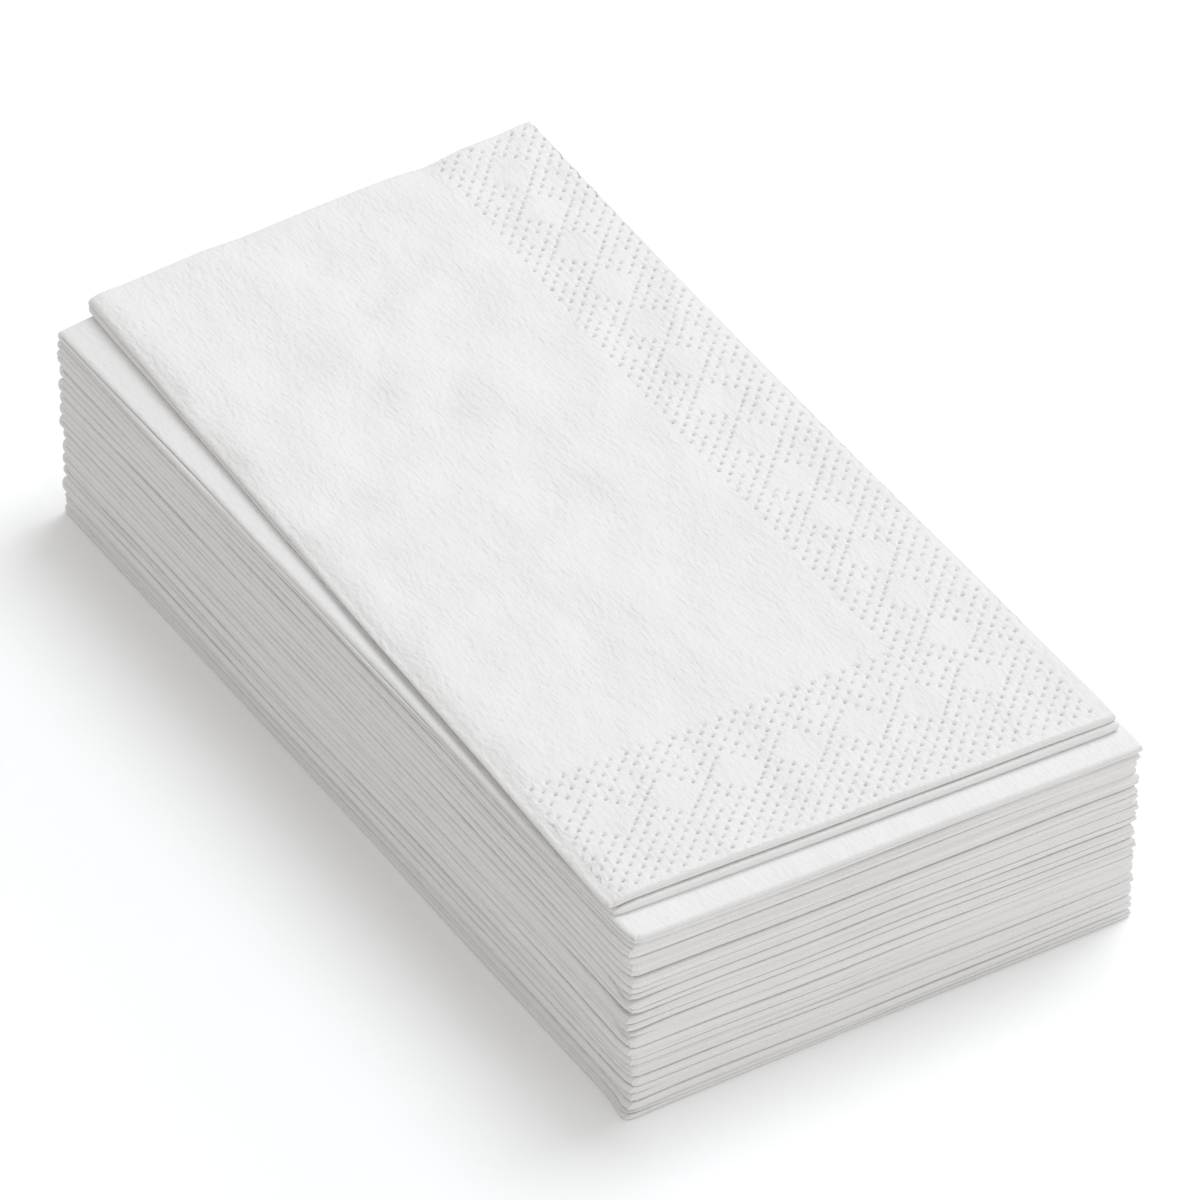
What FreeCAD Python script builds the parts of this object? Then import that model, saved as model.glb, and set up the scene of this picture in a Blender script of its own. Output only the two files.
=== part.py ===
"""A stack of square paper napkins, each one sheet folded to an eighth, with one laid askew on top.

Frame: millimetres, +Z up. The origin is the middle of the ground under the bottom napkin.
X runs across the folded napkins, from their long folded side to their long open side.
Y runs along them, from the short open end to the short folded end.
"""
import FreeCAD, Part
import math
import os

# Sheet and folds
sheet_width = 400.0
sheet_length = 400.0
sheet_thickness = 0.235
layer_gap = 0.105
end_slip = 0.9
crease_flats = 4

# Stack
napkin_count = 16
stagger_x = 0.25
stagger_y = 0.25
stagger_turn = 0.1
stagger_step = 137.5
stack_lean = 0.5

# Napkin on top
top_shift_x = 3.2
top_shift_y = 5.4
top_turn = -1.6

# Embossed border of the napkin on top
band_side = 23.9
band_end = 33.6
emboss_depth = 0.12
row_from_side = 12.7
row_from_end = 20.3
diamond_spacing = 12.5
diamond_reach = 5.4
stud_reach = 2.0
stud_from_row = 6.2

# Worked out from the sizes above
panel_width = sheet_width / 2 / 2
panel_length = sheet_length / 2
half_sheet = sheet_thickness / 2
layer_pitch = sheet_thickness + layer_gap
small_fold = layer_pitch / 2
large_fold = small_fold + layer_pitch
half_height = large_fold + 2 * layer_pitch + half_sheet
napkin_height = 2 * half_height
crease_step = math.pi / (crease_flats + 1)

UP = FreeCAD.Vector(0, 0, 1)


def layer(number):
    """Height of a layer's middle over the napkin's mid plane, counted from 1 up."""
    return small_fold + (number - 1) * layer_pitch


def section_point(x, z):
    """A point of the folded section, which lies across the napkin."""
    return FreeCAD.Vector(x, 0, z)


def turn_back(radius):
    """Corners of a fold pressed into flats that touch a half circle, as (out, up) pairs.

    They run from the fold's lower layer out and up to its upper one, about its middle.
    """
    reach = radius / math.cos(crease_step / 2)
    angles = [(corner + 0.5) * crease_step for corner in range(crease_flats + 1)]
    return [(reach * math.sin(angle), -reach * math.cos(angle)) for angle in angles]


def side_fold(low, high, side):
    """Corners of the fold that joins two layers, at the left (-1) or the right (1)."""
    radius = (layer(high) - layer(low)) / 2
    middle_z = (layer(high) + layer(low)) / 2
    left_x = large_fold + half_sheet
    right_x = panel_width - small_fold - half_sheet
    middle_x = left_x if side < 0 else right_x
    return [section_point(middle_x + side * out, middle_z + up) for out, up in turn_back(radius)]


def middle_line():
    """Middle of the sheet through the four layers of one half.

    From the open side, layer 3 runs to the inner left fold, layer 2 back to the right
    fold, layer 1 to the outer left fold, and layer 4 over them all to the open side.
    """
    line = [section_point(panel_width, layer(3))]
    line += reversed(side_fold(2, 3, -1))
    line += reversed(side_fold(1, 2, 1))
    line += side_fold(1, 4, -1)
    line += [section_point(panel_width, layer(4))]
    return line


def sheet_face(line, offset):
    """One face of the sheet: each corner of the middle line, moved out along its mitre."""
    runs = [(end - start).normalize() for start, end in zip(line, line[1:])]
    sides = [FreeCAD.Vector(-run.z, 0, run.x) for run in runs]
    before = [sides[0]] + sides
    after = sides + [sides[-1]]
    return [corner + (one + two) * (offset / (1 + one.dot(two)))
            for corner, one, two in zip(line, before, after)]


def folded_section():
    """Outline of the four layers over the mid plane, one unbroken band of sheet."""
    line = middle_line()
    outline = sheet_face(line, half_sheet) + sheet_face(line, -half_sheet)[::-1]
    return Part.makePolygon(outline + outline[:1])


def end_route():
    """Way of the lowest layer: along the upper half, round the end fold and back below."""
    fold_y = panel_length - half_height
    round_end = [FreeCAD.Vector(0, fold_y + out, -up) for out, up in turn_back(small_fold)]
    start = FreeCAD.Vector(0, end_slip, small_fold)
    finish = FreeCAD.Vector(0, 0, -small_fold)
    return Part.makePolygon([start] + round_end + [finish])


def folded_napkin():
    """The folded section carried along the upper half, round the end fold and back."""
    section = folded_section().translated(FreeCAD.Vector(0, end_slip, 0))
    mitred = 1
    return end_route().makePipeShell([section], True, False, mitred)


def diamond(x, y, reach):
    """Prism of one plain diamond of the border, as deep as the border is pressed."""
    ways = [(-1, 0), (0, -1), (1, 0), (0, 1), (-1, 0)]
    corners = [FreeCAD.Vector(x + dx * reach, y + dy * reach, half_height) for dx, dy in ways]
    return Part.Face(Part.makePolygon(corners)).extrude(-UP * emboss_depth)


def row_places(start, end):
    """Places along one row of diamonds, from its first middle to the sheet's fold."""
    count = int((end - start - diamond_reach) / diamond_spacing) + 1
    return [start + number * diamond_spacing for number in range(count)]


def plain_diamonds():
    """Both rows of large diamonds, and the small ones that sit between their sides."""
    corner_x = panel_width - row_from_side
    corner_y = end_slip + row_from_end
    fold_y = panel_length - half_height
    side_row = row_places(corner_y, fold_y)
    end_row = [corner_x - place for place in row_places(0, corner_x - 2 * large_fold)]
    half = diamond_spacing / 2
    prisms = [diamond(corner_x, y, diamond_reach) for y in side_row]
    prisms += [diamond(x, corner_y, diamond_reach) for x in end_row[1:]]
    for off in (-stud_from_row, stud_from_row):
        prisms += [diamond(corner_x + off, y + half, stud_reach) for y in side_row[:-1]]
        prisms += [diamond(x - half, corner_y + off, stud_reach) for x in end_row[:-1]]
    return prisms


def emboss(napkin):
    """Press the border into the top layer along two edges, and leave its diamonds standing."""
    floor = half_height - emboss_depth
    start_x = 2 * large_fold
    length = panel_length - half_height - end_slip
    side_band = Part.makeBox(band_side, length, emboss_depth,
                             FreeCAD.Vector(panel_width - band_side, end_slip, floor))
    end_band = Part.makeBox(panel_width - start_x, band_end, emboss_depth,
                            FreeCAD.Vector(start_x, end_slip, floor))
    pressed = side_band.fuse(end_band).removeSplitter()
    return napkin.cut(pressed.cut(plain_diamonds()))


def place(napkin, index):
    """Set a napkin on the stack, a little out of line with the one below."""
    turn = math.radians(stagger_step * index)
    rise = index / (napkin_count - 1)
    x = stagger_x * math.sin(turn) + stack_lean * rise
    y = stagger_y * math.sin(2 * turn)
    angle = stagger_turn * math.sin(3 * turn)
    if index == napkin_count - 1:
        x, y, angle = top_shift_x, top_shift_y, top_turn
    centred = napkin.translated(FreeCAD.Vector(-panel_width / 2, -panel_length / 2, 0))
    turned = centred.rotated(FreeCAD.Vector(0, 0, 0), UP, angle)
    return turned.translated(FreeCAD.Vector(x, y, index * napkin_height + half_height))


def main():
    """Write the napkins from the ground up, the embossed one last."""
    os.makedirs("parts", exist_ok=True)
    plain = folded_napkin()
    for index in range(napkin_count - 1):
        place(plain, index).exportStep("parts/napkin_%02d.step" % (index + 1))
    place(emboss(plain), napkin_count - 1).exportStep("parts/napkin_top.step")


main()
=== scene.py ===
"""A stack of paper napkins, each one sheet folded to an eighth, the embossed one askew on top.

Shapes are worked out in millimetres, as arrays, and put into the meshes in metres. On a napkin,
"across" runs from its long folded side (0) to its long open side, "along" from its short open
end (0) to its folded end, and "level" from -1 at its underside to 1 at its upper side.
"""

import math

import bpy
import numpy as np
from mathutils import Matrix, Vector


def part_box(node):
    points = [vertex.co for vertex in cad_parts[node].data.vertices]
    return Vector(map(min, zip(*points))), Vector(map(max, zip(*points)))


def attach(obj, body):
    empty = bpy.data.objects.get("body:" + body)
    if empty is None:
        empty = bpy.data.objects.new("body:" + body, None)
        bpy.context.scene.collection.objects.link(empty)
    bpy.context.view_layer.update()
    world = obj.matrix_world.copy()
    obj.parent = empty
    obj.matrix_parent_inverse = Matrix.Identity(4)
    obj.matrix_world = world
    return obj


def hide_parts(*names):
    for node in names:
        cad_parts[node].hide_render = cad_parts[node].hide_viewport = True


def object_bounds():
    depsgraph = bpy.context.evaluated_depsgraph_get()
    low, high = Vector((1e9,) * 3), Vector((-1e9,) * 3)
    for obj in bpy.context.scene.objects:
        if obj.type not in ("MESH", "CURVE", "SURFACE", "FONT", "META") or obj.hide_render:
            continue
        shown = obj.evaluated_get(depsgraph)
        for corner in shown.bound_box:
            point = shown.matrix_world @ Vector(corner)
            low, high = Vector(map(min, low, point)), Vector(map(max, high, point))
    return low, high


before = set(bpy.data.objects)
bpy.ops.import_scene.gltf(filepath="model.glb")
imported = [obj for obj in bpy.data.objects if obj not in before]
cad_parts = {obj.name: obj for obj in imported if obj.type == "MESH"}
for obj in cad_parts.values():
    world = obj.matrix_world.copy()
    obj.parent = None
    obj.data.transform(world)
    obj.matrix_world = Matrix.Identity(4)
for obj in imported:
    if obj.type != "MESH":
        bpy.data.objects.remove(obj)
cad_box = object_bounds()

SEED = 11
MM = 0.001

# The photograph's view, in the model's own frame, for an image of 1200 by 1200 pixels
IMAGE_SIZE = 1200
FOCAL_PIXELS = 8000
VIEW_AZIMUTH = -31.22
VIEW_ELEVATION = 37.93
VIEW_DISTANCE = 1442.7
VIEW_RIGHT = 3.80
VIEW_UP = 19.18
SENSOR = 36.0
CLIP_START = 0.05
CLIP_END = 20

# The napkins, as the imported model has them
NAPKIN_NODES = sorted(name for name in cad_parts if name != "napkin_top") + ["napkin_top"]
NAPKIN_COUNT = len(NAPKIN_NODES)
FLAT_SHEET = 400.0
WIDTH = FLAT_SHEET / 4
LENGTH = FLAT_SHEET / 2
STACK_HEIGHT = (cad_box[1].z - cad_box[0].z) / MM
NAPKIN_HEIGHT = STACK_HEIGHT / NAPKIN_COUNT
HALF = NAPKIN_HEIGHT / 2
STAGGER_TURN = 0.1
STAGGER_STEP = 137.5

# The folded sheet: its layers, how many points its folds have, and where the lines of its mesh
# lie, in from each edge, with how far apart they lie inside
LAYERS = 4
LAYER_PITCH = HALF / LAYERS
PLY = 0.30
SMALL_FOLD = LAYER_PITCH / 2
LARGE_FOLD = SMALL_FOLD + LAYER_PITCH
INNER_FOLD_POINTS = 5
RIGHT_FOLD_POINTS = 6
OUTER_FOLD_POINTS = 15
END_FOLD_STEPS = 12
LEFT_LINES = (0, 0.5, 1.2, 2.4, 4.5, 8)
RIGHT_LINES = (0, 0.31, 0.7, 1.3, 2.2, 4, 7.5)
NEAR_LINES = (0, 0.25, 0.6, 1.1, 1.8, 3, 5, 8, 12)
FAR_LINES = (0, 1.2, 3, 6, 10)
WIDEST_ACROSS = 9
WIDEST_ALONG = 7

# How far the corners of the stack lie off their places, across and along, at its top and its
# base: near left, near right, far left, far right
TOP_CORNERS = ((0.1, 1.0), (0.3, -0.4), (0.0, 2.9), (0.3, 1.5))
BASE_CORNERS = ((0.0, 0.0), (0.9, 0.2), (-1.2, -0.4), (0.0, 0.0))

# How much thicker the whole stack lies at its open end and towards its folded end, the share of
# the latter that its left edge lacks, over what width, and how far its sides spread
NEAR_LIFT = 0.4
FAR_LIFT = 1.7
TIGHT_SHARE = 0.85
TIGHT_WIDTH = 6
LOOSE_SIDE = 0.9

# Shares by which the thickness differs: from napkin to napkin, from half to half, and over the
# ground in broad and in close waves
NAPKIN_SWING = 0.24
HALF_SWING = 0.13
BROAD_SWING = 0.09
CLOSE_SWING = 0.035

# Gaps at the edges: between napkins, between the two halves of one, what an open napkin and its
# open corner add, how much they vary along the edge, and their limits
NAPKIN_GAPS = (0.12, 0.32)
HALF_GAPS = (0.0, 0.13)
OPEN_GAP = 0.18
CORNER_GAP = 0.55
CORNER_SPREAD = 14
GAP_SWING = 0.5
LEAST_GAP = 0.012
WIDEST_GAP = 0.75

# How the gaps fade from the open end, the open side and the folded side: share and width
END_GAP = (0.7, 1.3)
RIGHT_GAP = (1.0, 1.2)
LEFT_GAP = (1.2, 1.9)

# Slips of each half, along and across: how much they differ from half to half, how much they
# wander, how far in they reach, and the share that the right side takes. The layers of each
# half slip a little too, each as a whole within its margins.
HALF_SLIP = 0.14
HALF_SIDE_SLIP = 0.12
SLIP_WANDER = 0.09
SIDE_WANDER = 0.12
SLIP_BACK = 0.1
SLIP_WIDTH = 14
FREE_SHARES = (0.75, 0.97)
RIGHT_SIDE_SHARE = 0.35
LAYER_SLIP = 0.07
LAYER_SLIP_WIDTH = 4
LAYER_MARGINS = (0.12, 0.88)

# How closed a closed and an open napkin is, the share of closed ones, and how much an opened
# near left corner takes from it, over what square distance
CLOSED = 0.95
OPEN = 0.15
CLOSED_SHARE = 0.78
OPENED = 0.9
OPENED_SPREAD = 40

# Edges in section, for a closed napkin and for each half of an open one: the length of the
# nose, how far the folded side leans out over the one below, how deep its round is, and how
# full the corners of its outer fold are
ROUNDNESS = 0.97
NOSE = 0.6
HALF_NOSE = 0.36
SHINGLE = 0.9
HALF_SHINGLE = 0.45
LIP_ROUND = 0.25
HALF_LIP_ROUND = 0.15
HALF_LIP_LEAN = 0.15
RIGHT_NOSE_SHARE = 1.1
END_NOSE_SHARE = 0.8
LIP_FULLNESS = 0.75
UPPER_POWER = 0.5

# Edges in plan: how far the corners are cut back, and the widths over which the shapes of the
# folded side, the open side, the open end and the corners fade
CORNER = 0.4
RIGHT_CORNER = 0.25
CORNER_WIDTH = 1.2
LEFT_WIDTH = 1.6
RIGHT_WIDTH = 0.9
END_WIDTH = 1.0

# The near left corner: how far it sticks out where a napkin opens there, how far it stands back
# where not, how far this reaches, and its share at mid height and how much less it is above
FLARE = 0.6
SHUT_FLARE = 0.4
FLARE_ALONG = 3.5
FLARE_ACROSS = 2.4
FLARE_MIDDLE = 0.8
FLARE_TILT = 0.4
END_FLARE_SHARE = 0.4
END_FLARE_WIDTH = 6

# The napkin on top: its turn, its slips, and how far its own corners are drawn out of square
TOP_TURN = -1.58
TOP_SLIP = (0.9, 0.0)
TOP_SIDE_SLIP = (-0.2, 0.3)
TOP_SHEET_CORNERS = ((-0.5, 0.4), (0.2, 0.4), (0.9, -3.2), (-1.9, 4.8))

# Its upper face: the puff of its folded end, the heights of its ripples, fine ripples and
# wrinkles, how far in from the sides they are full, and the pinch along its left edge
LEAST_PUFF = 0.1
TOP_PUFF = 1.2
PUFF_POWER = 5
RIPPLE_HEIGHT = 0.15
FINE_HEIGHT = 0.07
WRINKLE_HEIGHT = 0.26
WRINKLE_SLANT = 0.6
WRINKLE_END = 90
CALM_WIDTH = 6
CALM_SHARE = 0.2
PINCH = 0.9
PINCH_WIDTH = 2.8
PINCH_LOSS = 0.6

# The room that its layers leave below the embossed face, and the level that this starts from
EMBOSS_ROOM = 0.45
ROOM_LEVEL = 0.87
ROOM_FULL_LEVEL = 0.78
ROOM_INSET = (0.3, 1.8)
ROOM_LEFT = (3, 6)
ROOM_FAR = (3.5, 1.7)

# The emboss: dots on a square net turned by 45 degrees, with plain diamonds in two rows
STEP_ACROSS = 1.55
STEP_ALONG = 1.61
DOT_RADIUS = 0.62
DOT_DEPTH = 0.62
DIAMOND_STEPS = 4
ROW_ACROSS = 87.3
ROW_ALONG = 20.6
EMBOSS_LEFT = 1.2
ROWS_BELOW = 12
ROWS_INSIDE = 8
COLUMNS_INSIDE = 7
COLUMNS_OUTSIDE = 8
LAST_ROW = int((LENGTH - HALF - ROW_ALONG) / STEP_ALONG)
FIRST_COLUMN = -int((ROW_ACROSS - EMBOSS_LEFT) / STEP_ACROSS)

# Dots of two edges of a diamond, in steps, and the faint one beside each, up the side row
RISING_STEPS = np.array([0.8, 1.6, 2.2, 3.0])
FAINT_BESIDE = (3.4, 2.6)
FAINT_STRENGTH = 0.45
OUTER_STRENGTH = 0.35
DOT_STRENGTHS = (0.8, 1.1)
DOT_WANDER = 0.025

# How far the net is off square: the row along the end is shifted across and drops, but not in
# the corner, and the row along the side drifts out towards the folded end
END_ROW_SHIFT = 1.43
END_ROW_DROP = 1.05
END_ROW_REACH = (23, 32)
DROP_REACH = (70, 84)
FAR_DRIFT = 1.5
DRIFT_REACH = (100, 190)

# The embossed face's mesh: cells for each step of the net, its margins inside the face's edges,
# and the coarse grid between the bands, with its lines and the width of its seam
DOT_CELLS = 5
LEFT_MARGIN = 2.3
RIGHT_MARGIN = 0.2
NEAR_MARGIN = 0.3
FAR_MARGIN = 0.35
FACE_LEFT = 1.7
PAST_BAND = 0.3
SEAM = 0.8
COARSE_COLUMNS = 37
COARSE_ROWS = 72

# Colours of the tissue: its thin and thick patches, painted shade down a slot, and in the pressed
# dots a dark that is partly the denser paper and partly painted shade
TISSUE_SHADE = (0.852, 0.850, 0.843)
TISSUE_LIGHT = (0.882, 0.880, 0.875)
TISSUE_PRESSED_AND_SHADE = (0.52, 0.51, 0.50)
TISSUE_SLOT_SHADE = (0.71, 0.68, 0.64)
TONE_ENDS = (0.3, 0.7)
PRESSED_SHADE_START = 0.3

# Where the painted slot shade starts: in from the edges, and by level, from a half's inner and
# outer face
SLOT_SHADE_INSET = (0.1, 1.0)
INNER_FACE = (0.03, 0.12)
OUTER_FACE = (0.88, 0.97)

# Finish of the tissue: its gloss, its sheen, and its roughness where it is thin and thick
TISSUE_GLOSS = 0.18
TISSUE_SHEEN = 0.06
SHEEN_ROUGHNESS = 0.6
THIN_ROUGHNESS = 0.98
THICK_ROUGHNESS = 0.86

# Fibres: how each noise is drawn out, and its detail, roughness and distortion
STRANDS = ((1.0, 0.4, 0.5), 2.0, 0.5, 0.2)
CREPE = ((1.0, 0.6, 0.8), 0.0, 0.5, 0.2)
CLOUDS = ((1.0, 0.8, 1.0), 2.0, 0.5, 0.4)
CREPE_WEIGHT = 1.1
TONE_WEIGHT = 0.5

# The floor as the camera sees it and as it lights the stack, and the light from all round
FLOOR_REACH = 3000.0
FLOOR_SEEN = (1.05, 1.06, 1.065)
FLOOR_BOUNCED = (0.88, 0.86, 0.835)
FLOOR_GLOW = 0.02
ROUND_LIGHT = (1.0, 0.982, 0.968)
ROUND_STRENGTH = 0.57

# The lamps, by name, place, size and power, a little cooler than the light from all round
LAMP_COLOUR = (0.945, 0.975, 1.01)
LAMPS = (("key", (1.0, 0.42, 2.1), 1.3, 24),
         ("edge", (2.1, 0.6, 1.2), 0.7, 4.5),
         ("fill", (0.35, -2.0, 0.75), 1.5, 7.2))


def random_source(topic):
    """A random source of its own for each topic, so that one change leaves the others alone."""
    return np.random.default_rng([SEED, topic])


def smooth_step(value, start, end):
    """0 before start, 1 after end, and a cubic rise between them."""
    share = np.clip((value - start) / (end - start), 0, 1)
    return share * share * (3 - 2 * share)


def fade(distance, width):
    """1 at an edge and less away from it, as a bell of this width."""
    return np.exp(-(distance / width) ** 2)


class Ripples:
    """Several smooth random fields over the ground: each is a sum of sines with random
    directions and phases, of roughly unit height."""

    def __init__(self, topic, fields, shortest, longest, waves=4):
        source = random_source(topic)
        way = source.uniform(0, 2 * math.pi, (fields, waves))
        length = np.exp(source.uniform(math.log(shortest), math.log(longest), (fields, waves)))
        self.x_rate = 2 * math.pi * np.cos(way) / length
        self.y_rate = 2 * math.pi * np.sin(way) / length
        self.phase = source.uniform(0, 2 * math.pi, (fields, waves))
        self.scale = 1 / math.sqrt(waves / 2)

    def at(self, field, x, y):
        """Value of one field at the points (x, y): the scaled sum of its sines."""
        total = 0
        for wave in range(self.phase.shape[1]):
            total = total + np.sin(self.x_rate[field, wave] * x + self.y_rate[field, wave] * y
                                   + self.phase[field, wave])
        return total * self.scale


HALVES = 2 * NAPKIN_COUNT
FACES = HALVES + 1
THICKNESS_SHARES = (
    np.repeat(random_source(1).uniform(-NAPKIN_SWING, NAPKIN_SWING, NAPKIN_COUNT), 2)
    + random_source(11).uniform(-HALF_SWING, HALF_SWING, HALVES))
BROAD = Ripples(2, HALVES, shortest=110, longest=320)
CLOSE = Ripples(3, HALVES, shortest=30, longest=80)
GAP_SIZES = np.where(np.arange(FACES) % 2 == 0, random_source(4).uniform(*NAPKIN_GAPS, FACES),
                     random_source(5).uniform(*HALF_GAPS, FACES))
GAP_RIPPLES = Ripples(6, FACES, shortest=40, longest=160)
SIDE_RIPPLES = Ripples(7, HALVES, shortest=60, longest=240)
END_RIPPLES = Ripples(8, HALVES, shortest=50, longest=200)
TOP_RIPPLES = Ripples(9, 1, shortest=24, longest=75, waves=9)
FINE_RIPPLES = Ripples(10, 1, shortest=7, longest=16, waves=12)
WRINKLES = Ripples(12, 1, shortest=13, longest=34, waves=12)


def half_tops(x, y):
    """Heights of the faces between all halves of the napkins, over the points (x, y).

    Each half is as thick as its share, which varies smoothly over the ground, and the sum
    of all halves is the stack's height. Towards the folded end the stack grows thicker by a
    cubic, but for its left edge, where the folds lie tighter.
    """
    share = np.clip(y / LENGTH + 0.5, 0, 1)
    inset = np.clip(x + WIDTH / 2, 0, None)
    bulge = share ** 3 * (1 - TIGHT_SHARE * fade(inset, TIGHT_WIDTH))
    height = STACK_HEIGHT + NEAR_LIFT + FAR_LIFT * bulge
    shares = [1 + THICKNESS_SHARES[half] + BROAD_SWING * BROAD.at(half, x, y)
              + CLOSE_SWING * CLOSE.at(half, x, y) for half in range(HALVES)]
    sums = np.cumsum(shares, axis=0)
    heights = sums * (height / sums[-1])
    return np.concatenate([np.zeros_like(heights[:1]), heights])


def spaced(start, end, near, far, widest):
    """Values from start to end, close together at both ends and at most `widest` apart inside."""
    from_start = start + np.array(near)
    from_end = (end - np.array(far))[::-1]
    inside = np.linspace(from_start[-1], from_end[0],
                         2 + int((from_end[0] - from_start[-1]) / widest))[1:-1]
    return np.concatenate([from_start, inside, from_end])


def fold_arc(low, high, side, count, fullness=(1.0, 1.0)):
    """Middle line of a fold from the layer at height `low` out and up to that at `high`.

    Out is the radius times the cosine of the angle, and up the radius times its sine. The
    cosine is raised to a power, one for the lower quarter and one for the upper: the smaller
    it is, the fuller is that corner.
    """
    angle = np.linspace(-math.pi / 2, math.pi / 2, count + 2)[1:-1]
    radius = (high - low) / 2
    power = np.where(angle < 0, fullness[0], fullness[1])
    out = radius * np.cos(angle) ** power
    middle = LARGE_FOLD + PLY / 2 if side < 0 else WIDTH - SMALL_FOLD - PLY / 2
    return np.stack([middle + side * out, (low + high) / 2 + radius * np.sin(angle)], 1)


def flat_run(places, height):
    """Middle line of a flat layer at one height."""
    return np.stack([places, np.full(len(places), height)], 1)


def folded_section(across, fullness):
    """The four layers of one half as a closed outline of (across, height) points.

    The middle line runs from the open side through layer 3, the inner fold, layer 2, the
    right fold, layer 1, the outer fold and layer 4. Both faces of the sheet are that line
    moved half a ply along its mitres. Returns the outline, and how many points the line has.
    """
    level = [SMALL_FOLD + LAYER_PITCH * number for number in range(LAYERS)]
    first, last = LARGE_FOLD + PLY / 2, WIDTH - SMALL_FOLD - PLY / 2
    inner = across[(across >= first) & (across <= last)]
    outer = across[across >= first]
    line = np.concatenate([
        flat_run(outer[::-1], level[2]),
        fold_arc(level[1], level[2], -1, INNER_FOLD_POINTS)[::-1],
        flat_run(inner, level[1]),
        fold_arc(level[0], level[1], 1, RIGHT_FOLD_POINTS)[::-1],
        flat_run(inner[::-1], level[0]),
        fold_arc(level[0], level[3], -1, OUTER_FOLD_POINTS, fullness),
        flat_run(outer, level[3])])
    run = np.diff(line, axis=0)
    run /= np.linalg.norm(run, axis=1)[:, None]
    side = np.stack([-run[:, 1], run[:, 0]], 1)
    before = np.concatenate([side[:1], side])
    after = np.concatenate([side, side[-1:]])
    mitre = (before + after) / (1 + (before * after).sum(1))[:, None]
    upper = line + mitre * PLY / 2
    lower = line - mitre * PLY / 2
    return np.concatenate([upper, lower[::-1]]), len(line)


def end_route():
    """Stations along the napkin, down the upper half, round the end fold and back: how far along
    and how far turned each is, and how many there are before the fold."""
    fold = LENGTH - HALF
    flat = spaced(0, fold, NEAR_LINES, FAR_LINES, WIDEST_ALONG)
    turn = np.linspace(0, math.pi, END_FOLD_STEPS + 1)[1:-1]
    along = np.concatenate([flat, np.full(len(turn), fold), flat[::-1]])
    turns = np.concatenate([np.zeros(len(flat)), turn, np.full(len(flat), math.pi)])
    return along, turns, len(flat)


def corner_shift(corners, across, along):
    """Shifts at each point between those of the near left, near right, far left and far right
    corner, by how near it lies to each."""
    right, far = across / WIDTH, along / LENGTH
    weights = ((1 - right) * (1 - far), right * (1 - far), (1 - right) * far, right * far)
    return [sum(weight * corner[axis] for weight, corner in zip(weights, corners))
            for axis in (0, 1)]


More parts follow.
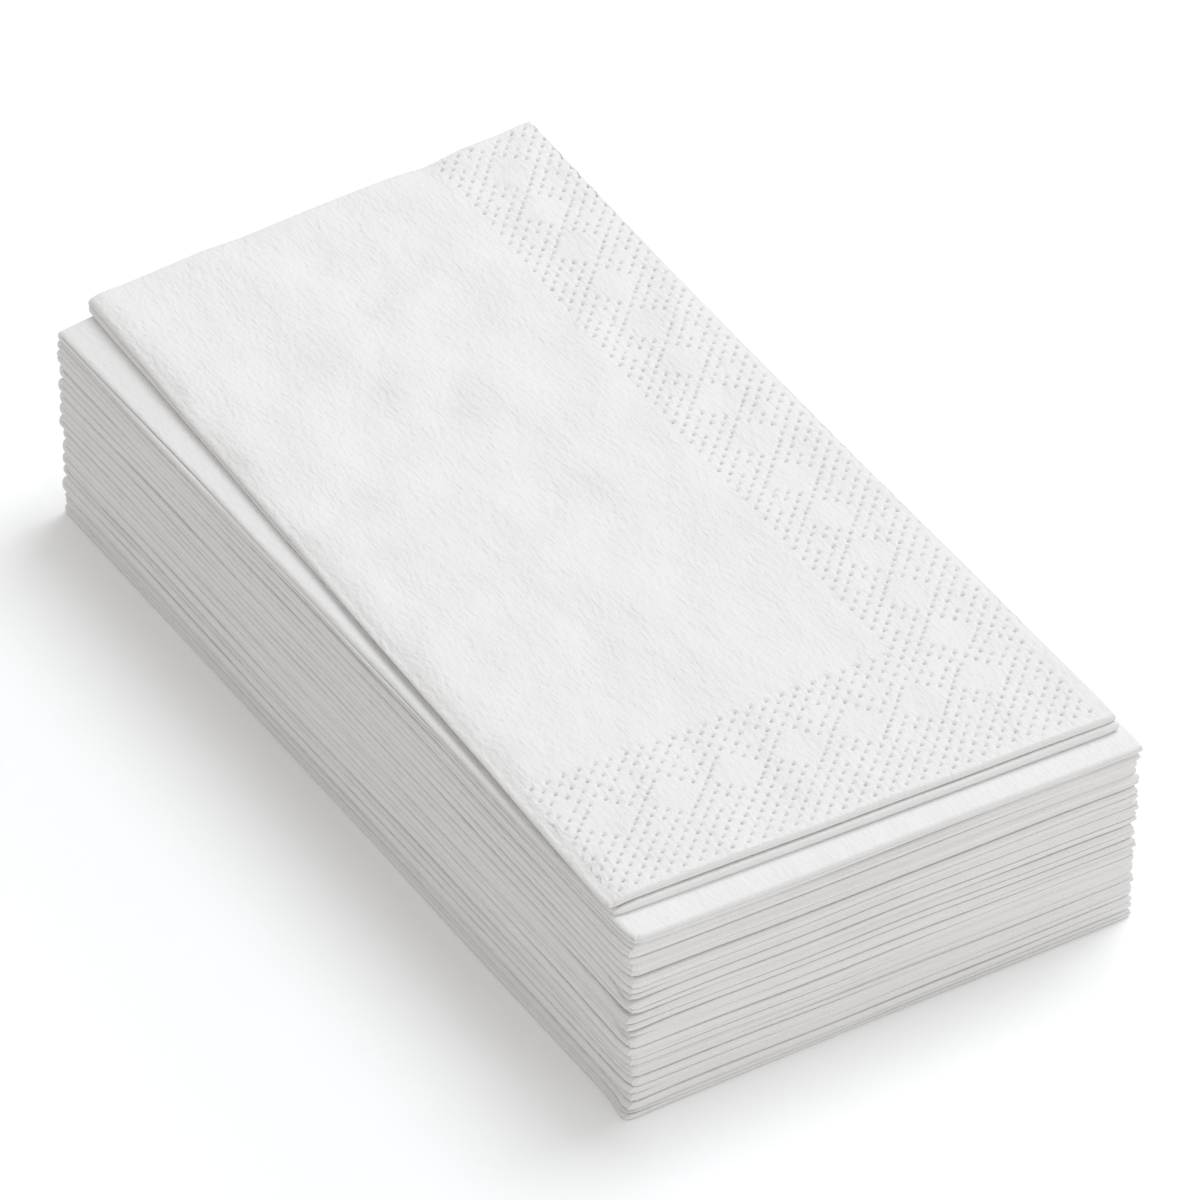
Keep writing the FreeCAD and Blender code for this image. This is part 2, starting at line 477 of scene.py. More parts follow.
class Napkin:
    """Where one napkin lies, and how its folded sheet is bent into the stack."""

    def __init__(self, index):
        self.index = index
        self.node = NAPKIN_NODES[index]
        self.is_top = index == NAPKIN_COUNT - 1
        low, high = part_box(self.node)
        self.centre = ((low + high) / 2 / MM).xy
        self.turn = math.radians(STAGGER_TURN) * math.sin(3 * math.radians(STAGGER_STEP) * index)
        source = random_source(100 + index)
        self.slip = source.uniform(-HALF_SLIP, HALF_SLIP, 2) + np.array([HALF_SLIP, 0.0])
        self.side_slip = source.uniform(-HALF_SIDE_SLIP, HALF_SIDE_SLIP, 2)
        self.closed = CLOSED if source.random() < CLOSED_SHARE else OPEN
        corner = source.uniform(-1, 1)
        self.opens = float(corner > 0)
        self.flare = FLARE + FLARE * corner if self.opens else SHUT_FLARE * corner
        self.layer_slips = source.normal(0, LAYER_SLIP, 2 * LAYERS)
        if self.is_top:
            self.turn = math.radians(TOP_TURN)
            self.slip = np.array(TOP_SLIP)
            self.side_slip = np.array(TOP_SIDE_SLIP)
            self.closed = OPEN
            self.opens = 0.0
            self.flare = 0.0

    def end_slips(self, level):
        """How far each layer ends short of the open end, blended from layer to layer."""
        place = np.abs(level) * LAYERS
        steps = (np.arange(LAYERS)[:, None] + np.array(LAYER_MARGINS)).ravel()
        over, under = self.layer_slips[:LAYERS], self.layer_slips[LAYERS:]
        return np.where(level >= 0, np.interp(place, steps, np.repeat(over, 2)),
                        np.interp(place, steps, np.repeat(under, 2)))

    def shape_edges(self, across, along, level):
        """Shifts across and along that shape the napkin's edges.

        On the folded side the outline leans out towards its lower lip, over the whole napkin
        where it is closed and over each half where it is not. The open end and the open side
        bulge by a round nose, and the layers end a little apart. The corners are round. At the
        near left corner some napkins open, and there their halves stick out.
        """
        opened = OPENED * self.opens * np.exp(-(across ** 2 + along ** 2) / OPENED_SPREAD)
        closed = self.closed * (1 - opened)
        half_level = (2 * np.abs(level) - 1) * np.where(level >= 0, 1, -1)
        round_whole = np.sqrt(np.clip(1 - ROUNDNESS * level ** 2, 0, 1))
        round_half = np.sqrt(np.clip(1 - ROUNDNESS * half_level ** 2, 0, 1))
        nose = NOSE * closed * round_whole + HALF_NOSE * (1 - closed) * round_half
        lip = closed * (SHINGLE * (1 + level) / 2 + LIP_ROUND * (1 - round_whole))
        lip = lip + (1 - closed) * (HALF_SHINGLE * (1 + half_level) / 2
                                    + HALF_LIP_ROUND * (1 - round_half)
                                    + HALF_LIP_LEAN * (1 + level))
        from_right = WIDTH - across
        at_left, at_right = fade(across, LEFT_WIDTH), fade(from_right, RIGHT_WIDTH)
        at_end, near_end = fade(along, END_WIDTH), fade(along, CORNER_WIDTH)
        flare = (self.flare * fade(along, FLARE_ALONG) * fade(across, FLARE_ACROSS)
                 * (FLARE_MIDDLE - FLARE_TILT * level))
        shift_x = (lip + CORNER * near_end) * at_left + RIGHT_NOSE_SHARE * nose * at_right
        shift_x = shift_x - flare - RIGHT_CORNER * near_end * at_right
        corner = CORNER * fade(across, CORNER_WIDTH) + RIGHT_CORNER * fade(from_right, CORNER_WIDTH)
        shift_y = (corner - END_NOSE_SHARE * nose) * at_end
        shift_y = shift_y + self.end_slips(level) * fade(along, LAYER_SLIP_WIDTH)
        shift_y = shift_y - (END_FLARE_SHARE * self.flare * at_end
                             * fade(across, END_FLARE_WIDTH))
        return shift_x, shift_y

    def half_slips(self, across, along, upper):
        """How far the points have slipped along and across with their half. The slip across
        fades towards the end fold."""
        slips, sides = [], []
        for part in (1, 0):
            half = 2 * self.index + part
            slips.append(self.slip[1 - part] + SLIP_WANDER * END_RIPPLES.at(half, across, 0))
            sides.append(self.side_slip[1 - part] + SIDE_WANDER * SIDE_RIPPLES.at(half, 0, along))
        slip = upper * slips[0] + (1 - upper) * slips[1]
        free = 1 - smooth_step(along, FREE_SHARES[0] * LENGTH, FREE_SHARES[1] * LENGTH)
        return slip, (upper * sides[0] + (1 - upper) * sides[1]) * free

    def on_ground(self, across, along, level, upper):
        """Places of the points over the ground. With its halves slipped and its edges shaped, the
        napkin is turned, set on its centre and moved as far as the stack's corners are out of
        place at its height."""
        slip, side = self.half_slips(across, along, upper)
        shift_x, shift_y = self.shape_edges(across, along, level)
        side_share = RIGHT_SIDE_SHARE + (1 - RIGHT_SIDE_SHARE) * (1 - across / WIDTH)
        x = across + side * side_share + shift_x
        y = along + (slip - SLIP_BACK) * fade(along, SLIP_WIDTH) + shift_y
        if self.is_top:
            off_x, off_y = corner_shift(TOP_SHEET_CORNERS, across, along)
            x = x + off_x
            y = y + off_y
        else:
            x = x + LOOSE_SIDE * (2 * across / WIDTH - 1)
        x = x - WIDTH / 2
        y = y - LENGTH / 2
        world_x = x * math.cos(self.turn) - y * math.sin(self.turn) + self.centre[0]
        world_y = x * math.sin(self.turn) + y * math.cos(self.turn) + self.centre[1]
        if not self.is_top:
            height = self.index / (NAPKIN_COUNT - 1)
            corners = height * np.array(TOP_CORNERS) + (1 - height) * np.array(BASE_CORNERS)
            off_x, off_y = corner_shift(corners, across, along)
            world_x = world_x + off_x
            world_y = world_y + off_y
        return world_x, world_y

    def gaps(self, across, along, x, y):
        """Half the gaps at the napkin's lower, middle and upper face, which open only towards
        its edges."""
        edge = np.maximum(np.maximum(END_GAP[0] * fade(along, END_GAP[1]),
                                     RIGHT_GAP[0] * fade(WIDTH - across, RIGHT_GAP[1])),
                          LEFT_GAP[0] * fade(across, LEFT_GAP[1]))
        corner = np.exp(-((across ** 2 + along ** 2) / CORNER_SPREAD))
        more = (0, (1 - self.closed) * OPEN_GAP + CORNER_GAP * self.opens * corner, 0)
        gaps = []
        for number in range(3):
            face = 2 * self.index + number
            size = (GAP_SIZES[face] + more[number]) * (1 + GAP_SWING * GAP_RIPPLES.at(face, x, y))
            gaps.append(LEAST_GAP + np.clip(size, 0, WIDEST_GAP) / 2 * edge)
        return gaps

    def place(self, across, along, level, upper):
        """Points in the stack for points of the folded sheet, all in millimetres.

        `upper` is 1 on the upper half and 0 on the lower one. The napkin lies between the
        faces of its two halves, less the gaps.
        """
        x, y = self.on_ground(across, along, level, upper)
        low, middle, high = half_tops(x, y)[2 * self.index:2 * self.index + 3]
        low_gap, middle_gap, high_gap = self.gaps(across, along, x, y)
        inside = np.abs(level)
        over = middle + (high - middle) * inside - high_gap * inside + middle_gap * (1 - inside)
        under = middle + (low - middle) * inside + low_gap * inside - middle_gap * (1 - inside)
        z = np.where(level >= 0, over, under)
        if self.is_top:
            z = z + self.rise(across, along) * (1 + level) / 2
            z = z - self.room(across, along, level)
        return x, y, z

    def slot(self, across, along, level):
        """How far each point lies in a slot, 0 to 1: on the faces that another half covers,
        from the napkin's edges inwards. Shade is painted there: down a slot the paper's colour is
        darker and warmer."""
        inward = np.minimum(np.minimum(across, WIDTH - across), along)
        depth = smooth_step(inward, *SLOT_SHADE_INSET)
        inside = np.abs(level)
        middle = 1 - smooth_step(inside, *INNER_FACE)
        covered = np.maximum(smooth_step(inside, *OUTER_FACE), middle)
        shown = (level > 0.5) & (self.index >= NAPKIN_COUNT - 2)
        return depth * np.where(shown, middle, covered)

    def rise(self, across, along):
        """How far the upper face of the top napkin stands up: soft ripples, wrinkles towards the
        far left, and the puffed fold at its far end, which rises as a power of the way along
        and grows to the right, less the pinch of the folds along its left edge."""
        right, far = across / WIDTH, along / LENGTH
        puff = (LEAST_PUFF + TOP_PUFF * right ** 2) * far ** PUFF_POWER
        loose = smooth_step(along - WRINKLE_SLANT * across, 0, WRINKLE_END)
        ripples = (RIPPLE_HEIGHT * TOP_RIPPLES.at(0, across, along)
                   + FINE_HEIGHT * FINE_RIPPLES.at(0, across, along)
                   + WRINKLE_HEIGHT * loose * WRINKLES.at(0, across, along))
        calm = np.clip(np.minimum(across, WIDTH - across) / CALM_WIDTH, CALM_SHARE, 1)
        pinch = PINCH * fade(across, PINCH_WIDTH) * (1 - PINCH_LOSS * far ** 3)
        return puff - pinch + ripples * calm

    def room(self, across, along, level):
        """How far the layers under the embossed face lie lower, so that its dots reach none of
        them. They are pressed together in proportion to their level, but not at the edges."""
        inset = np.minimum(along, WIDTH - across)
        ground = smooth_step(inset, *ROOM_INSET) * smooth_step(across, *ROOM_LEFT)
        ground = ground * (1 - smooth_step(along, LENGTH - ROOM_FAR[0], LENGTH - ROOM_FAR[1]))
        lowered = (level > 0) & (level < ROOM_LEVEL)
        return EMBOSS_ROOM * ground * np.where(lowered, level / ROOM_FULL_LEVEL, 0)


def closed_rings(ring_count, station_count):
    """Faces between rings of points that follow each other: one quad for each side of the ring
    and each step from a station to the next. Returns them, and each one's side of the ring."""
    ring = np.arange(ring_count)
    following = (ring + 1) % ring_count
    station = np.arange(station_count - 1)[:, None] * ring_count
    faces = np.stack([station + ring, station + following,
                      station + ring_count + following, station + ring_count + ring], 2)
    return faces.reshape(-1, 4), np.tile(ring, station_count - 1)


def cap_faces(line_count, start):
    """Faces that close the thin band of the sheet at one end: a quad for each step of the line,
    between its upper and its lower face."""
    step = np.arange(line_count - 1)
    other = 2 * line_count - 1 - step
    return start + np.stack([step, step + 1, other - 1, other], 1)


def make_mesh(name, points, quads, triangles, flat_quads):
    """A mesh object in metres from points in millimetres, smooth but for the flat quads, which
    are cut edges and take the second material."""
    mesh = bpy.data.meshes.new(name)
    loops = np.concatenate([quads.ravel(), triangles.ravel()]).astype(np.int32)
    sizes = np.concatenate([np.full(len(quads), 4), np.full(len(triangles), 3)])
    starts = np.concatenate([[0], np.cumsum(sizes)[:-1]]).astype(np.int32)
    mesh.vertices.add(len(points))
    mesh.vertices.foreach_set("co", (points * MM).astype(np.float32).ravel())
    mesh.loops.add(len(loops))
    mesh.loops.foreach_set("vertex_index", loops)
    mesh.polygons.add(len(sizes))
    mesh.polygons.foreach_set("loop_start", starts)
    smooth = np.ones(len(sizes), bool)
    smooth[:len(quads)] = ~flat_quads
    mesh.update(calc_edges=True)
    mesh.polygons.foreach_set("use_smooth", smooth)
    cut = np.zeros(len(sizes), np.int32)
    cut[:len(quads)] = flat_quads
    mesh.polygons.foreach_set("material_index", cut)
    mesh.validate()
    piece = bpy.data.objects.new(name, mesh)
    bpy.context.scene.collection.objects.link(piece)
    return piece


def folded_sheet(napkin):
    """Points, quads, flat quads and slot depths, the mask of painted slot shade, of a whole folded
    sheet, its section carried along its route, and what the embossed face needs of its shape."""
    across = spaced(LARGE_FOLD + PLY / 2, WIDTH, LEFT_LINES, RIGHT_LINES, WIDEST_ACROSS)
    fullness = (1.0 - LIP_FULLNESS * napkin.closed, UPPER_POWER)
    section, line_count = folded_section(across, fullness)
    along, turns, flat_count = end_route()
    height = section[:, 1]
    grid_across = np.broadcast_to(section[:, 0], (len(along), len(section)))
    grid_along = along[:, None] + height * np.sin(turns)[:, None]
    level = height * np.cos(turns)[:, None] / HALF
    upper = np.broadcast_to((1 + np.cos(turns)[:, None]) / 2, level.shape)
    points = np.stack(napkin.place(grid_across, grid_along, level, upper), 2).reshape(-1, 3)
    slot = napkin.slot(grid_across, grid_along, level).ravel()
    faces, ring_side = closed_rings(len(section), len(along))
    cut = (ring_side == line_count - 1) | (ring_side == 2 * line_count - 1)
    near_cap = cap_faces(line_count, 0)[:, ::-1]
    far_cap = cap_faces(line_count, (len(along) - 1) * len(section))
    quads = np.concatenate([faces, near_cap, far_cap])
    flat = np.concatenate([cut, np.ones(len(near_cap) + len(far_cap), bool)])
    return points, quads, flat, slot, (section, line_count, along[:flat_count])


def diamond_middles():
    """Columns and rows of the diamonds' middles: up the open side, then along the open end."""
    pitch = 2 * DIAMOND_STEPS
    up_row = [(0, row) for row in range(0, LAST_ROW + DIAMOND_STEPS, pitch)]
    end_row = [(column, 0) for column in range(-pitch, FIRST_COLUMN - DIAMOND_STEPS, -pitch)]
    return up_row + end_row


def border_places():
    """Columns and rows of the dots on the net, and how many of them, at the end, are faint.

    They sit on every second place, in one band along the open side and one along the open
    end. A diamond is the places less than four steps from its middle, and is left plain, and
    so is the single place midway between two diamonds on either side of the row. The two
    edges of a diamond that rise to the right carry four dots in place of three, and a faint
    dot more stands beside each.
    """
    reach = DIAMOND_STEPS
    column, row = np.meshgrid(np.arange(FIRST_COLUMN, COLUMNS_OUTSIDE + 1),
                              np.arange(-ROWS_BELOW, LAST_ROW + 1), indexing="ij")
    column, row = column.ravel(), row.ravel()
    banded = (column >= -COLUMNS_INSIDE) | (row <= ROWS_INSIDE)
    keep = banded & ((column + row) % 2 == 0)
    rising_dots, faint = [], []
    for middle_column, middle_row in diamond_middles():
        off_column, off_row = column - middle_column, row - middle_row
        steps = np.abs(off_column) + np.abs(off_row)
        rising = (steps == reach) & (off_column * off_row < 0)
        single = (np.abs(off_column) == reach) & (np.abs(off_row) == reach)
        single &= (off_row > 0) | (middle_row == 0)
        keep &= ~((steps < reach) | rising | single)
        for side in (-1, 1):
            rising_dots.append(np.stack([middle_column + side * (reach - RISING_STEPS),
                                         middle_row - side * RISING_STEPS], 1))
        beside = FAINT_BESIDE if middle_column == 0 else FAINT_BESIDE[::-1]
        faint += [(middle_column - beside[0], middle_row + beside[1]),
                  (middle_column + beside[0], middle_row - beside[1])]
    places = np.concatenate([np.stack([column, row], 1)[keep], *rising_dots, faint])
    strength = np.ones(len(places))
    strength[-len(faint):] = FAINT_STRENGTH
    inside = (places[:, 1] <= LAST_ROW) & (places[:, 0] >= FIRST_COLUMN)
    return places[inside], strength[inside]


def emboss_dots():
    """Middles and strengths of the pressed dots, as (across, along, strength)."""
    places, strength = border_places()
    source = random_source(20)
    across = ROW_ACROSS + STEP_ACROSS * places[:, 0] + source.normal(0, DOT_WANDER, len(places))
    along = ROW_ALONG + STEP_ALONG * places[:, 1] + source.normal(0, DOT_WANDER, len(places))
    at_end = 1 - smooth_step(along, *END_ROW_REACH)
    along -= END_ROW_DROP * at_end * (1 - smooth_step(across, *DROP_REACH))
    across -= END_ROW_SHIFT * at_end - FAR_DRIFT * smooth_step(along, *DRIFT_REACH)
    strength *= source.uniform(*DOT_STRENGTHS, len(places))
    strength *= np.where(places[:, 0] >= COLUMNS_OUTSIDE, OUTER_STRENGTH, 1.0)
    strength *= np.where(places[:, 1] <= -ROWS_BELOW, OUTER_STRENGTH, 1.0)
    return across, along, strength


def pressed_depth(across, along):
    """Share of the emboss's depth at each point: the strength of the nearest dot times the
    square of one less the squared share of its radius, as a smooth bowl."""
    dot_across, dot_along, strength = emboss_dots()
    depth = np.zeros(len(across))
    order = np.argsort(across, kind="stable")
    ordered = across[order]
    for dot in range(len(strength)):
        first, last = np.searchsorted(ordered, [dot_across[dot] - DOT_RADIUS,
                                                dot_across[dot] + DOT_RADIUS])
        near = order[first:last]
        square = ((across[near] - dot_across[dot]) ** 2
                  + (along[near] - dot_along[dot]) ** 2) / DOT_RADIUS ** 2
        bowl = strength[dot] * np.clip(1 - square, 0, 1) ** 2
        depth[near] = np.maximum(depth[near], bowl)
    return depth


def net_lines(middle, step, first, last):
    """Lines between first and last, a fraction of a net's step apart, counted from its middle."""
    cell = step / DOT_CELLS
    count = int(LENGTH / cell)
    lines = middle + cell * np.arange(-count, count)
    return lines[(lines > first) & (lines < last)]


def grid_ids(start, rows, columns):
    """Point numbers of a grid from `start` up, row by row."""
    return start + np.arange(len(rows) * len(columns)).reshape(len(rows), len(columns))


def grid_quads(ids):
    """Quads of a grid of point numbers, ids[row, column], with columns to the right and rows up."""
    return np.stack([ids[:-1, :-1], ids[:-1, 1:], ids[1:, 1:], ids[1:, :-1]], 2).reshape(-1, 4)


def zip_strip(outer, outer_places, inner, inner_places):
    """Triangles between two chains of points that run side by side, the inner on the left.

    Places are scaled to run from 0 to 1 on both. Each step of one chain makes a triangle with
    the point of the other that the merged order of the steps' middles gives.
    """
    scaled = []
    for places in (outer_places, inner_places):
        places = np.abs(places - places[0])
        places = places / places[-1]
        scaled.append((places[:-1] + places[1:]) / 2)
    facing_inner = np.searchsorted(scaled[1], scaled[0], side="left")
    facing_outer = np.searchsorted(scaled[0], scaled[1], side="right")
    first = np.stack([outer[:-1], outer[1:], inner[facing_inner]], 1)
    second = np.stack([inner[1:], inner[:-1], outer[facing_outer]], 1)
    return np.concatenate([first, second])


def embossed_skin(napkin, sides, count):
    """Upper face of the top napkin: a fine grid over the two bands, a coarse one inside them.

    `sides` holds, for the bottom, right, top and left side in turn, the point numbers of the
    edge of the hole that the face fills and their places along it. The new points are
    numbered from `count`. Returns them, their quads and triangles, and how far each is pressed.
    """
    fine_across = net_lines(ROW_ACROSS, STEP_ACROSS, LEFT_MARGIN, WIDTH - RIGHT_MARGIN)
    fine_along = net_lines(ROW_ALONG, STEP_ALONG, NEAR_MARGIN, LENGTH - HALF - FAR_MARGIN)
    low_rows = fine_along < ROW_ALONG + STEP_ALONG * (ROWS_INSIDE + PAST_BAND)
    right_columns = fine_across > ROW_ACROSS - STEP_ACROSS * (COLUMNS_INSIDE + PAST_BAND)
    end_along, side_along = fine_along[low_rows], fine_along[~low_rows]
    side_across = fine_across[right_columns]
    coarse_across = np.linspace(fine_across[0], side_across[0] - SEAM, COARSE_COLUMNS)
    coarse_along = np.linspace(end_along[-1] + SEAM, fine_along[-1], COARSE_ROWS)

    end_ids = grid_ids(count, end_along, fine_across)
    side_ids = grid_ids(count + end_ids.size, side_along, side_across)
    field_ids = grid_ids(count + end_ids.size + side_ids.size, coarse_along, coarse_across)
    grids = ((end_along, fine_across), (side_along, side_across), (coarse_along, coarse_across))
    places = np.concatenate([np.stack(np.meshgrid(columns, rows), 2).reshape(-1, 2)
                             for rows, columns in grids])
    across, along = places[:, 0], places[:, 1]
    ones = np.ones(len(across))
    x, y, z = napkin.place(across, along, ones, ones)
    # How far each point is pressed: the dots' depth, and the mask of their dark colour, partly
    # denser paper and partly painted shade
    press_and_shade = pressed_depth(across, along)
    points = np.stack([x, y, z - DOT_DEPTH * press_and_shade], 1)

    left_count = len(fine_across) - len(side_across)
    side_all = np.concatenate([end_ids[-1:, left_count:], side_ids])
    quads = np.concatenate([grid_quads(end_ids), grid_quads(side_all), grid_quads(field_ids)])

    inner_sides = [
        (end_ids[0], fine_across),
        (np.concatenate([end_ids[:, -1], side_ids[:, -1]]), fine_along),
        (np.concatenate([side_ids[-1, ::-1], field_ids[-1, ::-1]]),
         np.concatenate([side_across[::-1], coarse_across[::-1]])),
        (np.concatenate([field_ids[::-1, 0], end_ids[::-1, 0]]),
         np.concatenate([coarse_along[::-1], end_along[::-1]]))]
    strips = [zip_strip(*outer, *inner) for outer, inner in zip(sides, inner_sides)]
    strips.append(zip_strip(end_ids[-1, :left_count + 1], fine_across[:left_count + 1],
                            field_ids[0], coarse_across))
    strips.append(zip_strip(side_all[:, 0], np.concatenate([end_along[-1:], side_along]),
                            field_ids[:, -1], coarse_along))
    return points, quads, np.concatenate(strips), press_and_shade


def embossed_sheet(napkin, sheet):
    """The top napkin's folded sheet with its upper face cut out and the embossed skin put in."""
    points, quads, flat, slot, (section, line_count, along) = sheet
    ring_count, flat_count = len(section), len(along)
    start = line_count - int(np.argmax(section[:line_count][::-1, 0] < FACE_LEFT))
    numbers = np.arange(flat_count)[:, None] * ring_count + np.arange(ring_count)
    inside = (quads[:, 0] % ring_count >= start) & (quads[:, 0] % ring_count < line_count - 1)
    inside &= (quads[:, 0] // ring_count < flat_count - 1) & ~flat
    columns = np.arange(start, line_count)
    across = section[columns, 0]
    sides = [(numbers[0, columns], across), (numbers[:, line_count - 1], along),
             (numbers[-1, columns[::-1]], across[::-1]), (numbers[::-1, start], along[::-1])]
    skin, skin_quads, strips, press_and_shade = embossed_skin(napkin, sides, len(points))
    quads = np.concatenate([quads[~inside], skin_quads])
    flat = np.concatenate([flat[~inside], np.zeros(len(skin_quads), bool)])
    # Masks for painted shade: the dots' pressed depth, and the slots
    marks = {"press_and_shade": np.concatenate([np.zeros(len(points)), press_and_shade]),
             "slot": np.concatenate([slot, np.zeros(len(skin))])}
    return np.concatenate([points, skin]), quads, strips, flat, marks


def make_napkin(index):
    """One folded napkin of the stack as a mesh object."""
    napkin = Napkin(index)
    sheet = folded_sheet(napkin)
    if napkin.is_top:
        points, quads, triangles, flat, marks = embossed_sheet(napkin, sheet)
    else:
        points, quads, flat, slot = sheet[:4]
        triangles = np.zeros((0, 3), int)
        marks = {"slot": slot}
    piece = make_mesh("folded_" + napkin.node, points, quads, triangles, flat)
    # The marks are stored for the tissue's colour, which paints shade with them
    for name, values in marks.items():
        mark = piece.data.attributes.new(name, "FLOAT", "POINT")
        mark.data.foreach_set("value", values.astype(np.float32))
    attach(piece, "root")
    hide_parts(napkin.node)
    return piece


def new_material(name):
    """An empty node material, its tree and its output node."""
    material = bpy.data.materials.new(name)
    material.use_nodes = True
    tree = material.node_tree
    tree.nodes.clear()
    output = tree.nodes.new("ShaderNodeOutputMaterial")
    return material, tree, output


def fibre_grain_group():
    """Tissue fibres: fine strands drawn out along the sheet, a soft crepe, and cloudy patches
    where the plies are thicker. Puts out a height for bump and a tone for colour."""
    group = bpy.data.node_groups.new("fibre_grain", "ShaderNodeTree")
    face = group.interface
    for name, value in (("Strand Size", 1.1), ("Crepe Size", 4.0), ("Cloud Size", 14.0)):
        socket = face.new_socket(name, in_out="INPUT", socket_type="NodeSocketFloat")
        socket.default_value = value
    face.new_socket("Height", in_out="OUTPUT", socket_type="NodeSocketFloat")
    face.new_socket("Tone", in_out="OUTPUT", socket_type="NodeSocketFloat")
    nodes, links = group.nodes, group.links
    entry = nodes.new("NodeGroupInput")
    leave = nodes.new("NodeGroupOutput")
    place = nodes.new("ShaderNodeTexCoord")

    def noise(size_name, stretch, detail, roughness, distortion):
        """Noise with features of the named size in millimetres, drawn out by `stretch`."""
        scale = nodes.new("ShaderNodeMath")
        scale.operation = "DIVIDE"
        scale.inputs[0].default_value = 1 / MM
        links.new(entry.outputs[size_name], scale.inputs[1])
        mapping = nodes.new("ShaderNodeMapping")
        mapping.inputs["Scale"].default_value = stretch
        texture = nodes.new("ShaderNodeTexNoise")
        texture.inputs["Detail"].default_value = detail
        texture.inputs["Roughness"].default_value = roughness
        texture.inputs["Distortion"].default_value = distortion
        links.new(place.outputs["Object"], mapping.inputs["Vector"])
        links.new(mapping.outputs["Vector"], texture.inputs["Vector"])
        links.new(scale.outputs[0], texture.inputs["Scale"])
        return texture.outputs["Fac"]

    def combine(operation, first, second):
        """A math node's output from two values, each a socket or a number."""
        node = nodes.new("ShaderNodeMath")
        node.operation = operation
        for socket, value in zip(node.inputs, (first, second)):
            if isinstance(value, (int, float)):
                socket.default_value = value
            else:
                links.new(value, socket)
        return node.outputs[0]

    strands = noise("Strand Size", *STRANDS)
    crepe = noise("Crepe Size", *CREPE)
    clouds = noise("Cloud Size", *CLOUDS)
    height = combine("ADD", strands, combine("MULTIPLY", crepe, CREPE_WEIGHT))
    tone = combine("MULTIPLY", combine("ADD", clouds, strands), TONE_WEIGHT)
    links.new(height, leave.inputs["Height"])
    links.new(tone, leave.inputs["Tone"])
    return group


def tissue_material(name, grain, strand_size, bump, embossed=False):
    """White tissue: matt, with fibres in its bump and faintly in its colour. Shade is painted into
    its colour: darker and warmer down a slot, and dark in the emboss's dots, partly for the denser
    pressed paper and partly as painted shade in the dimples."""
    material, tree, output = new_material(name)
    nodes, links = tree.nodes, tree.links
    shader = nodes.new("ShaderNodeBsdfPrincipled")
    shader.inputs["Specular IOR Level"].default_value = TISSUE_GLOSS
    shader.inputs["Sheen Weight"].default_value = TISSUE_SHEEN
    shader.inputs["Sheen Roughness"].default_value = SHEEN_ROUGHNESS
    fibres = nodes.new("ShaderNodeGroup")
    fibres.node_tree = grain
    fibres.inputs["Strand Size"].default_value = strand_size
    tone = nodes.new("ShaderNodeValToRGB")
    for element, position, colour in zip(tone.color_ramp.elements, TONE_ENDS,
                                         (TISSUE_SHADE, TISSUE_LIGHT)):
        element.position = position
        element.color = (*colour, 1)
    links.new(fibres.outputs["Tone"], tone.inputs["Fac"])
    relief = nodes.new("ShaderNodeBump")
    relief.inputs["Distance"].default_value = bump * MM
    relief.inputs["Strength"].default_value = 1.0
    links.new(fibres.outputs["Height"], relief.inputs["Height"])
    links.new(relief.outputs["Normal"], shader.inputs["Normal"])
    rough = nodes.new("ShaderNodeMapRange")
    rough.inputs["To Min"].default_value = THIN_ROUGHNESS
    rough.inputs["To Max"].default_value = THICK_ROUGHNESS
    links.new(fibres.outputs["Tone"], rough.inputs["Value"])
    links.new(rough.outputs["Result"], shader.inputs["Roughness"])
    # Painted shade down a slot: a darker, warmer colour where shade falls between the layers
    marks = [("slot", TISSUE_SLOT_SHADE, 0.0)]
    if embossed:
        # Dark colour in the pressed dots: partly the denser pressed paper, partly painted shade in
        # the dimples
        marks.append(("press_and_shade", TISSUE_PRESSED_AND_SHADE, PRESSED_SHADE_START))
    colour = tone.outputs["Color"]
    for attribute, marked, start in marks:
        mark = nodes.new("ShaderNodeAttribute")
        mark.attribute_name = attribute
        spread = nodes.new("ShaderNodeMapRange")
        spread.inputs["From Min"].default_value = start
        links.new(mark.outputs["Fac"], spread.inputs["Value"])
        mix = nodes.new("ShaderNodeMix")
        mix.data_type = "RGBA"
        first, second = [socket for socket in mix.inputs if socket.type == "RGBA"]
        second.default_value = (*marked, 1)
        links.new(colour, first)
        links.new(spread.outputs["Result"], mix.inputs["Factor"])
        colour = next(socket for socket in mix.outputs if socket.type == "RGBA")
    links.new(colour, shader.inputs["Base Color"])
    links.new(shader.outputs["BSDF"], output.inputs["Surface"])
    return material


def floor_material():
    """Plain white floor: lit as paper is, and lifted to white for the camera, so that only the
    object's shadow shows on it."""
    material, tree, output = new_material("white_floor")
    path = tree.nodes.new("ShaderNodeLightPath")
    seen = tree.nodes.new("ShaderNodeBsdfDiffuse")
    seen.inputs["Color"].default_value = (*FLOOR_SEEN, 1)
    bounced = tree.nodes.new("ShaderNodeBsdfDiffuse")
    bounced.inputs["Color"].default_value = (*FLOOR_BOUNCED, 1)
    glow = tree.nodes.new("ShaderNodeEmission")
    glow.inputs["Strength"].default_value = FLOOR_GLOW
    both = tree.nodes.new("ShaderNodeAddShader")
    choice = tree.nodes.new("ShaderNodeMixShader")
    tree.links.new(seen.outputs[0], both.inputs[0])
    tree.links.new(glow.outputs[0], both.inputs[1])
    tree.links.new(path.outputs["Is Camera Ray"], choice.inputs["Fac"])
    tree.links.new(bounced.outputs[0], choice.inputs[1])
    tree.links.new(both.outputs[0], choice.inputs[2])
    tree.links.new(choice.outputs[0], output.inputs["Surface"])
    return material


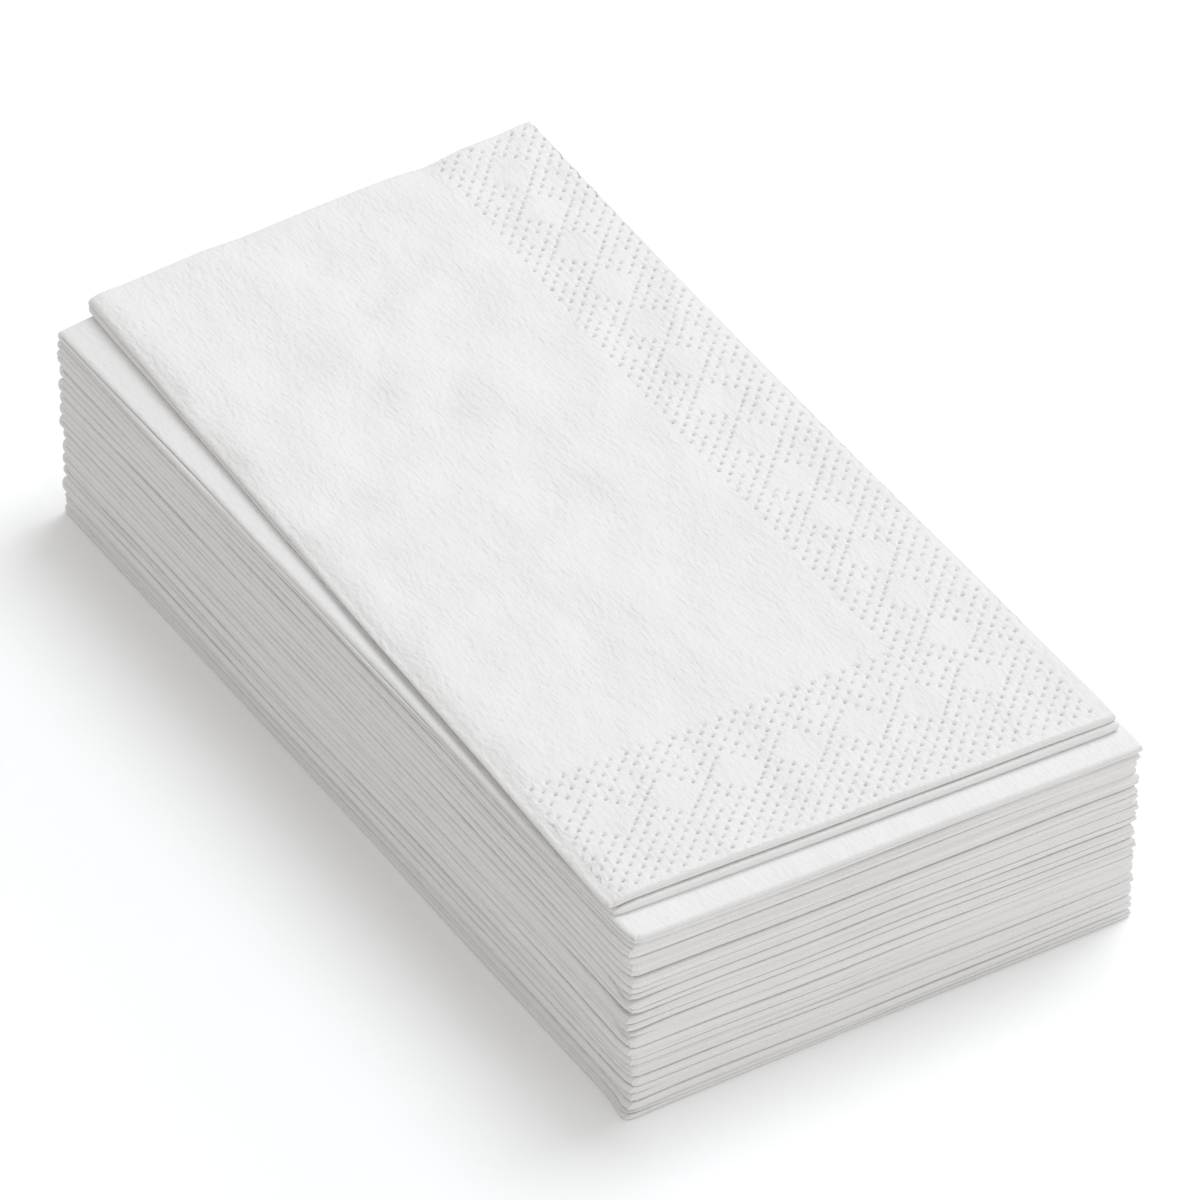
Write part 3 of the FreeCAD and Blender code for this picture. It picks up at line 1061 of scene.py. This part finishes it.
def make_floor():
    """A wide plain floor under the stack."""
    corners = FLOOR_REACH * np.array([[-1, -1, 0], [1, -1, 0], [1, 1, 0], [-1, 1, 0]])
    floor = make_mesh("floor", corners, np.array([[0, 1, 2, 3]]), np.zeros((0, 3), int),
                      np.zeros(1, bool))
    floor.data.materials.append(floor_material())


def make_world():
    """Even pale light from all round, white where the camera sees past the floor."""
    world = bpy.data.worlds.new("studio")
    bpy.context.scene.world = world
    world.use_nodes = True
    tree = world.node_tree
    tree.nodes.clear()
    output = tree.nodes.new("ShaderNodeOutputWorld")
    path = tree.nodes.new("ShaderNodeLightPath")
    light = tree.nodes.new("ShaderNodeBackground")
    light.inputs["Color"].default_value = (*ROUND_LIGHT, 1)
    light.inputs["Strength"].default_value = ROUND_STRENGTH
    white = tree.nodes.new("ShaderNodeBackground")
    white.inputs["Strength"].default_value = 1.0
    choice = tree.nodes.new("ShaderNodeMixShader")
    tree.links.new(path.outputs["Is Camera Ray"], choice.inputs["Fac"])
    tree.links.new(light.outputs[0], choice.inputs[1])
    tree.links.new(white.outputs[0], choice.inputs[2])
    tree.links.new(choice.outputs[0], output.inputs["Surface"])


def make_lamp(name, place, size, power):
    """A square area lamp that looks at the stack."""
    data = bpy.data.lights.new(name, "AREA")
    data.size = size
    data.energy = power
    data.color = LAMP_COLOUR
    lamp = bpy.data.objects.new(name, data)
    lamp.location = Vector(place)
    lamp.rotation_mode = "QUATERNION"
    lamp.rotation_quaternion = (-lamp.location).to_track_quat("-Z", "Y")
    bpy.context.scene.collection.objects.link(lamp)


def make_camera():
    """The camera at the photograph's view."""
    azimuth, elevation = math.radians(VIEW_AZIMUTH), math.radians(VIEW_ELEVATION)
    back = Vector((math.sin(azimuth) * math.cos(elevation),
                   -math.cos(azimuth) * math.cos(elevation), math.sin(elevation)))
    right = Vector((math.cos(azimuth), math.sin(azimuth), 0))
    up = back.cross(right)
    data = bpy.data.cameras.new("camera")
    data.sensor_width = SENSOR
    data.lens = FOCAL_PIXELS / IMAGE_SIZE * SENSOR
    data.clip_start = CLIP_START
    data.clip_end = CLIP_END
    camera = bpy.data.objects.new("camera", data)
    camera.location = (back * VIEW_DISTANCE + right * VIEW_RIGHT + up * VIEW_UP) * MM
    camera.rotation_mode = "QUATERNION"
    camera.rotation_quaternion = (-back).to_track_quat("-Z", "Y")
    bpy.context.scene.collection.objects.link(camera)
    bpy.context.scene.camera = camera


bpy.context.scene.view_settings.view_transform = "Standard"
grain = fibre_grain_group()
plain_finish = tissue_material("plain_tissue", grain, strand_size=0.8, bump=0.2)
embossed_finish = tissue_material("embossed_tissue", grain, strand_size=0.8, bump=0.3,
                                  embossed=True)
cut_finish = tissue_material("cut_tissue", grain, strand_size=0.7, bump=0.12)
for index, node in enumerate(NAPKIN_NODES):
    piece = make_napkin(index)
    piece.data.materials.append(embossed_finish if node == "napkin_top" else plain_finish)
    piece.data.materials.append(cut_finish)
make_floor()
make_world()
for name, place, size, power in LAMPS:
    make_lamp(name, place, size, power)
make_camera()
